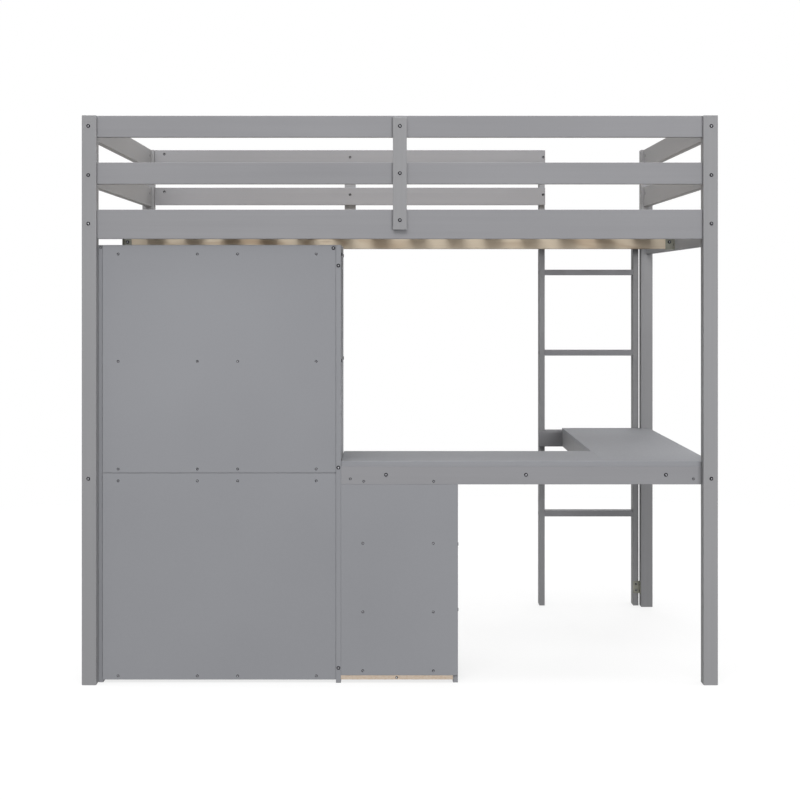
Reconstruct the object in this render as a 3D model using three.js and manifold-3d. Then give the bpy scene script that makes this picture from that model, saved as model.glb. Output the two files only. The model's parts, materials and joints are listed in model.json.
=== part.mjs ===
// Loft bed with an L-shaped desk, a bookcase and a drawer pedestal below it.
//
// Millimetres, +Z up. The front, with the ladder, faces -Y, and the wall side faces +Y.
// Left and right are those of a person who stands in front of the bed, so +X is right.
// The origin is on the floor, below the centre of the bounding box.

import * as THREE from 'three';
import { mergeVertices, toCreasedNormals } from 'three/addons/utils/BufferGeometryUtils.js';
import Module from 'manifold-3d';

const wasm = await Module();
wasm.setup();

// ---------------------------------------------------------------- dimensions

// Bed frame, measured from the middle of the bed
const HALF_LENGTH = 1010;                    // to the outer faces of the posts, along X
const HALF_WIDTH = 724;                      // to the outer faces of the posts, along Y
const HEIGHT = 1810;
const POST_X = 46;                           // section of a post
const POST_Y = 50;
const POST_INNER_X = HALF_LENGTH - POST_X;
const POST_INNER_Y = HALF_WIDTH - POST_Y;

const SIDE_RAIL_T = 20;                      // thickness of a rail along the bed
const SIDE_RAIL_RECESS = 16;                 // rail face behind the post face
const SIDE_RAIL_OUT = HALF_WIDTH - SIDE_RAIL_RECESS;
const SIDE_RAIL_IN = SIDE_RAIL_OUT - SIDE_RAIL_T;
const GUARD_TOP_Z = [1741, HEIGHT];
const GUARD_MID_Z = [1592, 1661];
const BED_RAIL_Z = [1417.5, 1511];
const GUARD_STILE_W = 44;
const GUARD_STILE_T = 16;
const GUARD_STILE_Z = [1446, 1804];
const FRONT_STILE_X = 188;                   // centre of the front guard stile
const REAR_STILE_X = 0;

const END_RAIL_X = [975, 997];               // inner and outer face of an end rail
const BED_END_RAIL_X = [985, 1005];
const END_TOP_Z = [1735, HEIGHT];
const END_MID_Z = [1585, 1661];
const END_BED_LEFT_Z = [1397, 1511];
const END_BED_RIGHT_Z = [1440, 1511];
const APRON_Z = [634, 692];                  // desk aprons and the end rails at desk height

// Mattress platform
const PLATFORM_Z = 1452;                     // underside of the slats
const LEDGER_T = 25;
const SLAT_COUNT = 14;
const SLAT_PITCH = 133;
const SLAT_WIDTH = 66;
const SLAT_T = 15;
const SLAT_HALF = 685;                       // half the length of a slat
const STRAP_W = 30;
const STRAP_T = 1.5;
const STRAP_Y = 420;
const BEAM_T = 20;
const BEAM_Z = [1402, PLATFORM_Z];
const HANGER_T = 3;                          // steel plate of a beam hanger
const HANGER_REACH = 31;
const HANGER_HALF_W = 28;
const HANGER_TOP_Z = 1496;

// Ladder
const LADDER_Y = [-768, -SIDE_RAIL_OUT];
const STILE_T = 22;
const INNER_STILE_X = -564;                  // face towards the middle of the bed
const OUTER_STILE_X = -959;                  // face towards the left end
const INNER_STILE_TOP = 1806;
const OUTER_STILE_TOP = BED_RAIL_Z[1];
const STEP_COUNT = 4;
const STEP_RISE = 320;
const FIRST_STEP_Z = 376;
const STEP_T = 22;
const TIE_Z = [50, 98];
const TIE_T = 3;
const TIE_LEG = 28;                          // leg of the tie plate along the post

// Desk
const DESK_Z = [APRON_Z[1], APRON_Z[1] + 15];
const DESK_REAR = 689;
const DESK_FRONT = 315;                      // front edge of the main top
const RETURN_X = [-998, -654];
const RETURN_FRONT = -700;
const APRON_T = 18;
const NOTCH_GAP = 1;                         // play of the return top round a post
const TOP_GAP = 1;                           // joint between the main top and the bookcase

// Bookcase and pedestal
const PANEL_T = 16;
const BACK_T = 6;
const CASE_FRONT = 360;                      // front faces of the bookcase and the pedestal
const CASE_REAR = DESK_REAR;
const CASE_X = [188, POST_INNER_X];
const CASE_TOP = 1399;
const BACK_INSET = 3;                        // back panels behind the rear edge of the left side
const BACK_SEAM_Z = 670;
const BACK_GAP = 1;                          // between the two back panels
const BACK_LAP = 2;                          // of the back panels over the rear edge of the right side
const CASE_BOTTOM_Z = [15, 31];
const BACK_BOTTOM_Z = 10;
const DECK_Z = [636, 695];                   // boxed deck between doors and cubbies
const SHELF_Z = [1019, 1035];
const TOP_PANEL_Z = [1362, 1378];

const PEDESTAL_X = [-186, CASE_X[0]];
const PEDESTAL_BOTTOM_Z = [11, 24];
const DRAWER_DIVIDERS_Z = [[219, 235], [438, 454]];
const PEDESTAL_TOP_Z = [635, 651];

// Doors and drawers
const REVEAL = 2;                            // gap round an inset door or drawer front
const FRONT_T = 16;
const FIELD_BORDER = 50;                     // width of the frame round a sunk field
const FIELD_DEPTH = 4;
const RUNNER_SPACE = 13;                     // on each side of a drawer box
const DRAWER_WALL = 12;
const DRAWER_FLOOR = 8;
const DRAWER_REAR = 655;
const DRAWER_HEADROOM = 24;
const KNOB_R = 14;
const KNOB_FOOT_R = 8;
const KNOB_OUT = 24;                         // knob in front of the face
const KNOB_SUNK = 2;
const KNOB_SIDES = 24;
const KNOB_RINGS = 8;
const DOOR_KNOB_Z = 520;

// ---------------------------------------------------------------- finishes

const FINISH = {
	paint: { color: 0x97979a, roughness: 0.5, metalness: 0 },
	pine: { color: 0xd9bd92, roughness: 0.75, metalness: 0 },
	birch: { color: 0xdcc8a6, roughness: 0.7, metalness: 0 },
	steel: { color: 0x54545a, roughness: 0.35, metalness: 0.9 },
};

function material( kind ) {

	return new THREE.MeshStandardMaterial( FINISH[ kind ] );

}

// ---------------------------------------------------------------- shape helpers

const CREASE = Math.PI / 5;                  // sharper folds than this stay edges
const X = new THREE.Vector3( 1, 0, 0 );
const Y = new THREE.Vector3( 0, 1, 0 );
const Z = new THREE.Vector3( 0, 0, 1 );

// A closed box between two corners, given as ranges along the axes
function boxGeometry( x, y, z ) {

	const geometry = new THREE.BoxGeometry( x[ 1 ] - x[ 0 ], y[ 1 ] - y[ 0 ], z[ 1 ] - z[ 0 ] );
	return geometry.translate( ( x[ 0 ] + x[ 1 ] ) / 2, ( y[ 0 ] + y[ 1 ] ) / 2, ( z[ 0 ] + z[ 1 ] ) / 2 );

}

function extrude( outline, length ) {

	const shape = new THREE.Shape( outline.map( ( [ u, v ] ) => new THREE.Vector2( u, v ) ) );
	return new THREE.ExtrudeGeometry( shape, { depth: length, bevelEnabled: false } );

}

// An outline in the YZ plane, extruded over a range of X
function alongX( outline, x ) {

	const turn = new THREE.Matrix4().makeBasis( Y, Z, X );
	return extrude( outline, x[ 1 ] - x[ 0 ] ).applyMatrix4( turn ).translate( x[ 0 ], 0, 0 );

}

// An outline in the XY plane, extruded over a range of Z
function alongZ( outline, z ) {

	return extrude( outline, z[ 1 ] - z[ 0 ] ).translate( 0, 0, z[ 0 ] );

}

function toSolid( geometry ) {

	const bare = geometry.clone();
	bare.deleteAttribute( 'normal' );
	bare.deleteAttribute( 'uv' );
	const merged = mergeVertices( bare );
	const corners = merged.index.array;
	const faces = [];
	for ( let i = 0; i < corners.length; i += 3 ) {

		const [ a, b, c ] = corners.slice( i, i + 3 );
		if ( a !== b && b !== c && c !== a ) faces.push( a, b, c );

	}

	const vertProperties = new Float32Array( merged.attributes.position.array );
	const triVerts = new Uint32Array( faces );
	return new wasm.Manifold( new wasm.Mesh( { numProp: 3, vertProperties, triVerts } ) );

}

function toGeometry( solid ) {

	const mesh = solid.getMesh();
	const geometry = new THREE.BufferGeometry();
	geometry.setAttribute( 'position', new THREE.BufferAttribute( mesh.vertProperties, 3 ) );
	geometry.setIndex( new THREE.BufferAttribute( mesh.triVerts, 1 ) );
	return toCreasedNormals( geometry, CREASE );

}

function join( ...geometries ) {

	const solids = geometries.map( toSolid );
	return toGeometry( solids.reduce( ( whole, piece ) => whole.add( piece ) ) );

}

function cut( geometry, ...tools ) {

	const solids = tools.map( toSolid );
	return toGeometry( solids.reduce( ( rest, tool ) => rest.subtract( tool ), toSolid( geometry ) ) );

}

function piece( name, geometry, kind ) {

	const mesh = new THREE.Mesh( geometry, material( kind ) );
	mesh.name = name;
	return mesh;

}

function board( name, x, y, z, kind = 'paint' ) {

	return piece( name, boxGeometry( x, y, z ), kind );

}

// The same range on the other side of the middle
function mirrored( range ) {

	return [ - range[ 1 ], - range[ 0 ] ];

}

function centred( middle, width ) {

	return [ middle - width / 2, middle + width / 2 ];

}

// ---------------------------------------------------------------- bed frame

function posts() {

	const right = [ POST_INNER_X, HALF_LENGTH ];
	const rear = [ POST_INNER_Y, HALF_WIDTH ];
	const full = [ 0, HEIGHT ];
	return [
		board( 'post_rear_left', mirrored( right ), rear, full ),
		board( 'post_rear_right', right, rear, full ),
		board( 'post_front_left', mirrored( right ), mirrored( rear ), full ),
		board( 'post_front_right', right, mirrored( rear ), full ),
	];

}

// A rail along the bed with the ledger that carries the slats glued to its inner face
function bedRail( name, side ) {

	const ledgerIn = SIDE_RAIL_IN - LEDGER_T;
	const ledgerBottom = PLATFORM_Z - LEDGER_T;
	const outline = [
		[ SIDE_RAIL_OUT, BED_RAIL_Z[ 0 ] ],
		[ SIDE_RAIL_OUT, BED_RAIL_Z[ 1 ] ],
		[ SIDE_RAIL_IN, BED_RAIL_Z[ 1 ] ],
		[ SIDE_RAIL_IN, PLATFORM_Z ],
		[ ledgerIn, PLATFORM_Z ],
		[ ledgerIn, ledgerBottom ],
		[ SIDE_RAIL_IN, ledgerBottom ],
		[ SIDE_RAIL_IN, BED_RAIL_Z[ 0 ] ],
	];
	const placed = outline.map( ( [ y, z ] ) => [ side * y, z ] );
	return piece( name, alongX( placed, [ - POST_INNER_X, POST_INNER_X ] ), 'paint' );

}

function sideRails() {

	const rear = [ SIDE_RAIL_IN, SIDE_RAIL_OUT ];
	const front = mirrored( rear );
	const full = [ - POST_INNER_X, POST_INNER_X ];
	const toLadder = [ INNER_STILE_X - STILE_T, POST_INNER_X ];
	const stileRear = [ SIDE_RAIL_OUT, SIDE_RAIL_OUT + GUARD_STILE_T ];
	return [
		board( 'rear_guard_rail_top', full, rear, GUARD_TOP_Z ),
		board( 'rear_guard_rail_middle', full, rear, GUARD_MID_Z ),
		bedRail( 'rear_bed_rail', 1 ),
		board( 'rear_guard_stile', centred( REAR_STILE_X, GUARD_STILE_W ), stileRear, GUARD_STILE_Z ),
		board( 'front_guard_rail_top', toLadder, front, GUARD_TOP_Z ),
		board( 'front_guard_rail_middle', toLadder, front, GUARD_MID_Z ),
		bedRail( 'front_bed_rail', - 1 ),
		board( 'front_guard_stile', centred( FRONT_STILE_X, GUARD_STILE_W ), mirrored( stileRear ),
			GUARD_STILE_Z ),
	];

}

function endRails() {

	const span = [ - POST_INNER_Y, POST_INNER_Y ];
	const left = mirrored( END_RAIL_X );
	return [
		board( 'left_end_rail_top', left, span, END_TOP_Z ),
		board( 'left_end_rail_middle', left, span, END_MID_Z ),
		board( 'left_end_bed_rail', mirrored( BED_END_RAIL_X ), span, END_BED_LEFT_Z ),
		board( 'left_end_desk_rail', left, span, APRON_Z ),
		board( 'right_end_rail_top', END_RAIL_X, span, END_TOP_Z ),
		board( 'right_end_rail_middle', END_RAIL_X, span, END_MID_Z ),
		board( 'right_end_bed_rail', BED_END_RAIL_X, span, END_BED_RIGHT_Z ),
		board( 'right_end_desk_rail', END_RAIL_X, span, APRON_Z ),
	];

}

// ---------------------------------------------------------------- mattress platform

// A U of steel plate on a back plate that is screwed to the end rail. side is 1 at the right end.
function beamHanger( name, side ) {

	const wall = BED_END_RAIL_X[ 0 ];
	const reach = [ wall - HANGER_REACH, wall ];
	const place = ( x ) => ( side > 0 ? x : mirrored( x ) );
	const cheek = [ BEAM_T / 2, BEAM_T / 2 + HANGER_T ];
	const sill = [ BEAM_Z[ 0 ] - HANGER_T, BEAM_Z[ 0 ] ];
	const cheekZ = [ sill[ 0 ], PLATFORM_Z - HANGER_T ];
	const across = [ - cheek[ 1 ], cheek[ 1 ] ];
	const plate = [ wall - HANGER_T, wall ];
	const hanger = join(
		boxGeometry( place( plate ), centred( 0, 2 * HANGER_HALF_W ), [ sill[ 0 ], HANGER_TOP_Z ] ),
		boxGeometry( place( reach ), cheek, cheekZ ),
		boxGeometry( place( reach ), mirrored( cheek ), cheekZ ),
		boxGeometry( place( reach ), across, sill ),
	);
	return piece( name, hanger, 'steel' );

}

// Slats stapled to two lengths of webbing, so that they unroll as one piece
function slatRoll() {

	const first = - SLAT_PITCH * ( SLAT_COUNT - 1 ) / 2;
	const slats = [];
	for ( let i = 0; i < SLAT_COUNT; i ++ ) {

		const x = centred( first + i * SLAT_PITCH, SLAT_WIDTH );
		slats.push( boxGeometry( x, [ - SLAT_HALF, SLAT_HALF ], [ PLATFORM_Z, PLATFORM_Z + SLAT_T ] ) );

	}

	const strapLength = SLAT_PITCH * ( SLAT_COUNT - 1 ) + SLAT_WIDTH / 2;
	const strapZ = [ PLATFORM_Z - STRAP_T, PLATFORM_Z + STRAP_T / 3 ];
	const straps = [ - STRAP_Y, STRAP_Y ].map(
		( y ) => boxGeometry( centred( 0, strapLength ), centred( y, STRAP_W ), strapZ ) );
	return piece( 'slat_roll', join( ...slats, ...straps ), 'pine' );

}

function platform() {

	const beamEnd = BED_END_RAIL_X[ 0 ] - HANGER_T;
	return [
		board( 'centre_beam', [ - beamEnd, beamEnd ], centred( 0, BEAM_T ), BEAM_Z, 'pine' ),
		beamHanger( 'beam_hanger_left', - 1 ),
		beamHanger( 'beam_hanger_right', 1 ),
		slatRoll(),
	];

}

// ---------------------------------------------------------------- ladder

function ladder() {

	const inner = [ INNER_STILE_X - STILE_T, INNER_STILE_X ];
	const outer = [ OUTER_STILE_X, OUTER_STILE_X + STILE_T ];
	const between = [ outer[ 1 ], inner[ 0 ] ];
	const pieces = [
		board( 'ladder_stile_inner', inner, LADDER_Y, [ 0, INNER_STILE_TOP ] ),
		board( 'ladder_stile_outer', outer, LADDER_Y, [ 0, OUTER_STILE_TOP ] ),
	];
	for ( let i = 0; i < STEP_COUNT; i ++ ) {

		const top = FIRST_STEP_Z + i * STEP_RISE;
		pieces.push( board( `ladder_step_${ i + 1 }`, between, LADDER_Y, [ top - STEP_T, top ] ) );

	}

	pieces.push( tiePlate() );
	return pieces;

}

// An angle of steel plate: one leg on the rear face of the stile, the other on the post beside it
function tiePlate() {

	const stileRear = LADDER_Y[ 1 ];
	const postSide = - POST_INNER_X;
	const legEnd = OUTER_STILE_X + STILE_T;
	const outline = [
		[ postSide, stileRear ],
		[ legEnd, stileRear ],
		[ legEnd, stileRear + TIE_T ],
		[ postSide + TIE_T, stileRear + TIE_T ],
		[ postSide + TIE_T, stileRear + TIE_LEG ],
		[ postSide, stileRear + TIE_LEG ],
	];
	return piece( 'ladder_tie_plate', alongZ( outline, TIE_Z ), 'steel' );

}

// ---------------------------------------------------------------- desk

// The return top runs from front to back and is notched round both left posts
function returnTop() {

	const notchX = - POST_INNER_X + NOTCH_GAP;
	const notchY = POST_INNER_Y - NOTCH_GAP;
	const outline = [
		[ RETURN_X[ 1 ], RETURN_FRONT ],
		[ RETURN_X[ 1 ], DESK_REAR ],
		[ notchX, DESK_REAR ],
		[ notchX, notchY ],
		[ RETURN_X[ 0 ], notchY ],
		[ RETURN_X[ 0 ], - notchY ],
		[ notchX, - notchY ],
		[ notchX, RETURN_FRONT ],
	];
	return piece( 'desk_return_top', alongZ( outline, DESK_Z ), 'paint' );

}

function desk() {

	const mainX = [ RETURN_X[ 1 ], CASE_X[ 0 ] - TOP_GAP ];
	const rearApronY = [ DESK_REAR - APRON_T, DESK_REAR ];
	const frontRailY = [ - SIDE_RAIL_OUT, - SIDE_RAIL_IN ];
	const innerApronX = [ RETURN_X[ 1 ] - APRON_T, RETURN_X[ 1 ] ];
	return [
		board( 'desk_main_top', mainX, [ DESK_FRONT, DESK_REAR ], DESK_Z ),
		returnTop(),
		board( 'desk_rear_apron', [ - POST_INNER_X, CASE_X[ 0 ] ], rearApronY, APRON_Z ),
		board( 'desk_front_rail', [ - POST_INNER_X, INNER_STILE_X + 4 ], frontRailY, APRON_Z ),
		board( 'desk_return_apron', innerApronX, [ frontRailY[ 1 ], rearApronY[ 0 ] ], APRON_Z ),
	];

}

// ---------------------------------------------------------------- bookcase

const CASE_INSIDE_X = [ CASE_X[ 0 ] + PANEL_T, CASE_X[ 1 ] - PANEL_T ];
const CASE_MIDDLE_X = centred( ( CASE_INSIDE_X[ 0 ] + CASE_INSIDE_X[ 1 ] ) / 2, PANEL_T );
const BACK_Y = [ CASE_REAR - BACK_INSET - BACK_T, CASE_REAR - BACK_INSET ];
const CARCASS_Y = [ CASE_FRONT, BACK_Y[ 0 ] ];
const HALVING_Y = ( CARCASS_Y[ 0 ] + CARCASS_Y[ 1 ] ) / 2;
const HALVING_GAP = 0.5;

// Two skins and a fascia, glued up as one U-shaped board that is open at the back
function middleDeck() {

	const fascia = CARCASS_Y[ 0 ] + PANEL_T;
	const lower = DECK_Z[ 0 ] + PANEL_T;
	const upper = DECK_Z[ 1 ] - PANEL_T;
	const outline = [
		[ CARCASS_Y[ 0 ], DECK_Z[ 0 ] ],
		[ CARCASS_Y[ 1 ], DECK_Z[ 0 ] ],
		[ CARCASS_Y[ 1 ], lower ],
		[ fascia, lower ],
		[ fascia, upper ],
		[ CARCASS_Y[ 1 ], upper ],
		[ CARCASS_Y[ 1 ], DECK_Z[ 1 ] ],
		[ CARCASS_Y[ 0 ], DECK_Z[ 1 ] ],
	];
	return piece( 'bookcase_middle_deck', alongX( outline, CASE_INSIDE_X ), 'paint' );

}

// The shelf has a slot from the back and the divider one from the front, so that they cross
function crossedShelf() {

	const slot = [ CASE_MIDDLE_X[ 0 ] - HALVING_GAP, CASE_MIDDLE_X[ 1 ] + HALVING_GAP ];
	const outline = [
		[ CASE_INSIDE_X[ 0 ], CARCASS_Y[ 0 ] ],
		[ CASE_INSIDE_X[ 1 ], CARCASS_Y[ 0 ] ],
		[ CASE_INSIDE_X[ 1 ], CARCASS_Y[ 1 ] ],
		[ slot[ 1 ], CARCASS_Y[ 1 ] ],
		[ slot[ 1 ], HALVING_Y ],
		[ slot[ 0 ], HALVING_Y ],
		[ slot[ 0 ], CARCASS_Y[ 1 ] ],
		[ CASE_INSIDE_X[ 0 ], CARCASS_Y[ 1 ] ],
	];
	return piece( 'bookcase_shelf', alongZ( outline, SHELF_Z ), 'paint' );

}

function crossedDivider() {

	const slot = [ SHELF_Z[ 0 ] - HALVING_GAP, SHELF_Z[ 1 ] + HALVING_GAP ];
	const outline = [
		[ CARCASS_Y[ 0 ], DECK_Z[ 1 ] ],
		[ CARCASS_Y[ 1 ], DECK_Z[ 1 ] ],
		[ CARCASS_Y[ 1 ], TOP_PANEL_Z[ 0 ] ],
		[ CARCASS_Y[ 0 ], TOP_PANEL_Z[ 0 ] ],
		[ CARCASS_Y[ 0 ], slot[ 1 ] ],
		[ HALVING_Y, slot[ 1 ] ],
		[ HALVING_Y, slot[ 0 ] ],
		[ CARCASS_Y[ 0 ], slot[ 0 ] ],
	];
	return piece( 'bookcase_upper_divider', alongX( outline, CASE_MIDDLE_X ), 'paint' );

}

function bookcase() {

	const left = [ CASE_X[ 0 ], CASE_INSIDE_X[ 0 ] ];
	const right = [ CASE_INSIDE_X[ 1 ], CASE_X[ 1 ] ];
	const backX = [ CASE_INSIDE_X[ 0 ], CASE_INSIDE_X[ 1 ] + BACK_LAP ];
	const lowerBackZ = [ BACK_BOTTOM_Z, BACK_SEAM_Z - BACK_GAP / 2 ];
	const upperBackZ = [ BACK_SEAM_Z + BACK_GAP / 2, CASE_TOP ];
	const behindDoors = [ CASE_FRONT + FRONT_T + REVEAL, CARCASS_Y[ 1 ] ];
	return [
		board( 'bookcase_side_left', left, [ CASE_FRONT, CASE_REAR ], [ 0, CASE_TOP ] ),
		board( 'bookcase_side_right', right, CARCASS_Y, [ 0, CASE_TOP ] ),
		board( 'bookcase_bottom', CASE_INSIDE_X, CARCASS_Y, CASE_BOTTOM_Z ),
		middleDeck(),
		crossedShelf(),
		board( 'bookcase_top', CASE_INSIDE_X, CARCASS_Y, TOP_PANEL_Z ),
		board( 'bookcase_lower_divider', CASE_MIDDLE_X, behindDoors, [ CASE_BOTTOM_Z[ 1 ], DECK_Z[ 0 ] ] ),
		crossedDivider(),
		board( 'bookcase_back_lower', backX, BACK_Y, lowerBackZ ),
		board( 'bookcase_back_upper', backX, BACK_Y, upperBackZ ),
	];

}

// ---------------------------------------------------------------- knobs, doors and drawers

// A turned knob that points to -Y, with its foot sunk into the face at y so that the two join.
// The head is part of an ellipse that starts at half its width and ends on the axis.
function knob( x, y, z ) {

	const headHalf = KNOB_OUT * 0.375;
	const headMiddle = KNOB_OUT - headHalf;
	const headStart = - Math.PI / 3;
	const profile = [
		new THREE.Vector2( 0, - KNOB_SUNK ),
		new THREE.Vector2( KNOB_FOOT_R, - KNOB_SUNK ),
		new THREE.Vector2( KNOB_FOOT_R, KNOB_SUNK ),
	];
	for ( let i = 0; i < KNOB_RINGS; i ++ ) {

		const turn = headStart + ( Math.PI / 2 - headStart ) * i / KNOB_RINGS;
		const r = KNOB_R * Math.cos( turn );
		profile.push( new THREE.Vector2( r, headMiddle + headHalf * Math.sin( turn ) ) );

	}

	profile.push( new THREE.Vector2( 0, KNOB_OUT ) );
	return new THREE.LatheGeometry( profile, KNOB_SIDES ).rotateX( Math.PI ).translate( x, y, z );

}

// An inset front with a sunk field in its face and a knob on its frame or in the field
function panelFront( x, z, knobX, knobZ ) {

	const face = CASE_FRONT;
	const slab = boxGeometry( x, [ face, face + FRONT_T ], z );
	const fieldX = [ x[ 0 ] + FIELD_BORDER, x[ 1 ] - FIELD_BORDER ];
	const fieldZ = [ z[ 0 ] + FIELD_BORDER, z[ 1 ] - FIELD_BORDER ];
	const field = boxGeometry( fieldX, [ face - FIELD_DEPTH, face + FIELD_DEPTH ], fieldZ );
	const inField = knobX > fieldX[ 0 ] && knobX < fieldX[ 1 ];
	const knobY = inField ? face + FIELD_DEPTH : face;
	return join( cut( slab, field ), knob( knobX, knobY, knobZ ) );

}

function doors() {

	const middle = ( CASE_INSIDE_X[ 0 ] + CASE_INSIDE_X[ 1 ] ) / 2;
	const z = [ CASE_BOTTOM_Z[ 1 ] + REVEAL, DECK_Z[ 0 ] - REVEAL ];
	const left = [ CASE_INSIDE_X[ 0 ] + REVEAL, middle - REVEAL ];
	const right = [ middle + REVEAL, CASE_INSIDE_X[ 1 ] - REVEAL ];
	const knobInset = FIELD_BORDER / 2;
	return [
		piece( 'door_left', panelFront( left, z, left[ 1 ] - knobInset, DOOR_KNOB_Z ), 'paint' ),
		piece( 'door_right', panelFront( right, z, right[ 0 ] + knobInset, DOOR_KNOB_Z ), 'paint' ),
	];

}

// ---------------------------------------------------------------- pedestal

const PEDESTAL_INSIDE_X = [ PEDESTAL_X[ 0 ] + PANEL_T, PEDESTAL_X[ 1 ] ];
const PEDESTAL_BACK_Y = [ CASE_REAR - BACK_T, CASE_REAR ];
const APRON_FRONT = DESK_REAR - APRON_T;

// The free side reaches the desk top and is notched for the rear apron
function pedestalSide() {

	const outline = [
		[ CASE_FRONT, 0 ],
		[ PEDESTAL_BACK_Y[ 0 ], 0 ],
		[ PEDESTAL_BACK_Y[ 0 ], APRON_Z[ 0 ] ],
		[ APRON_FRONT, APRON_Z[ 0 ] ],
		[ APRON_FRONT, APRON_Z[ 1 ] ],
		[ CASE_FRONT, APRON_Z[ 1 ] ],
	];
	return piece( 'pedestal_side', alongX( outline, [ PEDESTAL_X[ 0 ], PEDESTAL_INSIDE_X[ 0 ] ] ), 'paint' );

}

// The top panel and the fascia that closes the gap below the desk top are one glued-up board
function pedestalTop() {

	const outline = [
		[ CASE_FRONT, PEDESTAL_TOP_Z[ 0 ] ],
		[ APRON_FRONT, PEDESTAL_TOP_Z[ 0 ] ],
		[ APRON_FRONT, PEDESTAL_TOP_Z[ 1 ] ],
		[ CASE_FRONT + PANEL_T, PEDESTAL_TOP_Z[ 1 ] ],
		[ CASE_FRONT + PANEL_T, APRON_Z[ 1 ] ],
		[ CASE_FRONT, APRON_Z[ 1 ] ],
	];
	return piece( 'pedestal_top', alongX( outline, PEDESTAL_INSIDE_X ), 'paint' );

}

function pedestal() {

	const shelfY = [ CASE_FRONT, PEDESTAL_BACK_Y[ 0 ] ];
	const bottomY = [ CASE_FRONT, CASE_REAR ];
	const backZ = [ PEDESTAL_BOTTOM_Z[ 1 ], APRON_Z[ 0 ] ];
	const [ lower, upper ] = DRAWER_DIVIDERS_Z;
	return [
		pedestalSide(),
		board( 'pedestal_bottom', PEDESTAL_INSIDE_X, bottomY, PEDESTAL_BOTTOM_Z, 'pine' ),
		board( 'pedestal_lower_divider', PEDESTAL_INSIDE_X, shelfY, lower ),
		board( 'pedestal_upper_divider', PEDESTAL_INSIDE_X, shelfY, upper ),
		pedestalTop(),
		board( 'pedestal_back', PEDESTAL_X, PEDESTAL_BACK_Y, backZ ),
	];

}

function drawerBox( name, bay ) {

	const x = [ PEDESTAL_INSIDE_X[ 0 ] + RUNNER_SPACE, PEDESTAL_INSIDE_X[ 1 ] - RUNNER_SPACE ];
	const y = [ CASE_FRONT + FRONT_T, DRAWER_REAR ];
	const z = [ bay[ 0 ] + DRAWER_FLOOR, bay[ 1 ] - DRAWER_HEADROOM ];
	const hollow = boxGeometry(
		[ x[ 0 ] + DRAWER_WALL, x[ 1 ] - DRAWER_WALL ],
		[ y[ 0 ] + DRAWER_WALL, y[ 1 ] - DRAWER_WALL ],
		[ z[ 0 ] + DRAWER_FLOOR, z[ 1 ] + DRAWER_FLOOR ] );
	return piece( name, cut( boxGeometry( x, y, z ), hollow ), 'birch' );

}

function drawers() {

	const [ lower, upper ] = DRAWER_DIVIDERS_Z;
	const bays = {
		bottom: [ PEDESTAL_BOTTOM_Z[ 1 ], lower[ 0 ] ],
		middle: [ lower[ 1 ], upper[ 0 ] ],
		top: [ upper[ 1 ], PEDESTAL_TOP_Z[ 0 ] ],
	};
	const x = [ PEDESTAL_INSIDE_X[ 0 ] + REVEAL, PEDESTAL_INSIDE_X[ 1 ] - REVEAL ];
	const middleX = ( x[ 0 ] + x[ 1 ] ) / 2;
	return Object.entries( bays ).flatMap( ( [ level, bay ] ) => {

		const z = [ bay[ 0 ] + REVEAL, bay[ 1 ] - REVEAL ];
		const front = panelFront( x, z, middleX, ( z[ 0 ] + z[ 1 ] ) / 2 );
		return [ piece( `drawer_front_${ level }`, front, 'paint' ), drawerBox( `drawer_box_${ level }`, bay ) ];

	} );

}

// ---------------------------------------------------------------- assembly

const bed = new THREE.Group();
bed.add( ...posts(), ...sideRails(), ...endRails(), ...platform(), ...ladder() );
bed.add( ...desk(), ...bookcase(), ...doors(), ...pedestal(), ...drawers() );

// The ladder stands in front of the posts, so the whole moves back until its box is centred
bed.position.y = - ( LADDER_Y[ 0 ] + HALF_WIDTH ) / 2;

const loftBed = new THREE.Group();
loftBed.add( bed );

export default loftBed;
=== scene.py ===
"""Looks of a loft bed with a desk, a bookcase and a drawer pedestal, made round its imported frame.

Metres, +Z up. The ladder side faces -Y, the wall side +Y, and +X is the bookcase end.
"""
import json
import math
from collections import namedtuple

import bmesh
import bpy
from mathutils import Matrix, Vector


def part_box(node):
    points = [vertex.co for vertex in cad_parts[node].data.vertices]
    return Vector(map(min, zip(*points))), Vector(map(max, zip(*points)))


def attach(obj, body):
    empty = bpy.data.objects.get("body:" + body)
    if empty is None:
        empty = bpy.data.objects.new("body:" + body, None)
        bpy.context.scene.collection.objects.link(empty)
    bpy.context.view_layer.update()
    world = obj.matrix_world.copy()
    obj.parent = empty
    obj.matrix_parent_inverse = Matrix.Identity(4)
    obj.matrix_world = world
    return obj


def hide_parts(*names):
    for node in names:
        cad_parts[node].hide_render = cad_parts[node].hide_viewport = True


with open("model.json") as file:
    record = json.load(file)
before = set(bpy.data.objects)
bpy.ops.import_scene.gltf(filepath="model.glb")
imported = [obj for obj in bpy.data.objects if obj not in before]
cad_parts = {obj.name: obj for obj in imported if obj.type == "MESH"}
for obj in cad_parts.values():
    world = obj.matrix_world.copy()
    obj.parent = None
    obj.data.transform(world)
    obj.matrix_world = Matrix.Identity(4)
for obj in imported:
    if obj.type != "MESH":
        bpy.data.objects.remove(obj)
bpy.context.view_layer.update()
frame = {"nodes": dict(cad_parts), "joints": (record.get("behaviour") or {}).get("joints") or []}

MM = 0.001
NODES = frame["nodes"]


# ---------------------------------------------------------------- camera

LENS_MM = 80.235
SENSOR_MM = 36.0
EYE = Vector((0.0376, 6.406, 1.255))
SHIFT = (0.015, -0.1375)    # the camera looks level, and its view lies a little to the side and lower


def make_camera():
    data = bpy.data.cameras.new("camera")
    data.sensor_width = SENSOR_MM
    data.lens = LENS_MM
    data.shift_x, data.shift_y = SHIFT
    camera = bpy.data.objects.new("camera", data)
    camera.location = EYE
    camera.rotation_euler = (math.radians(90), 0, math.radians(180))
    bpy.context.scene.collection.objects.link(camera)
    bpy.context.scene.camera = camera


make_camera()


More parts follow.
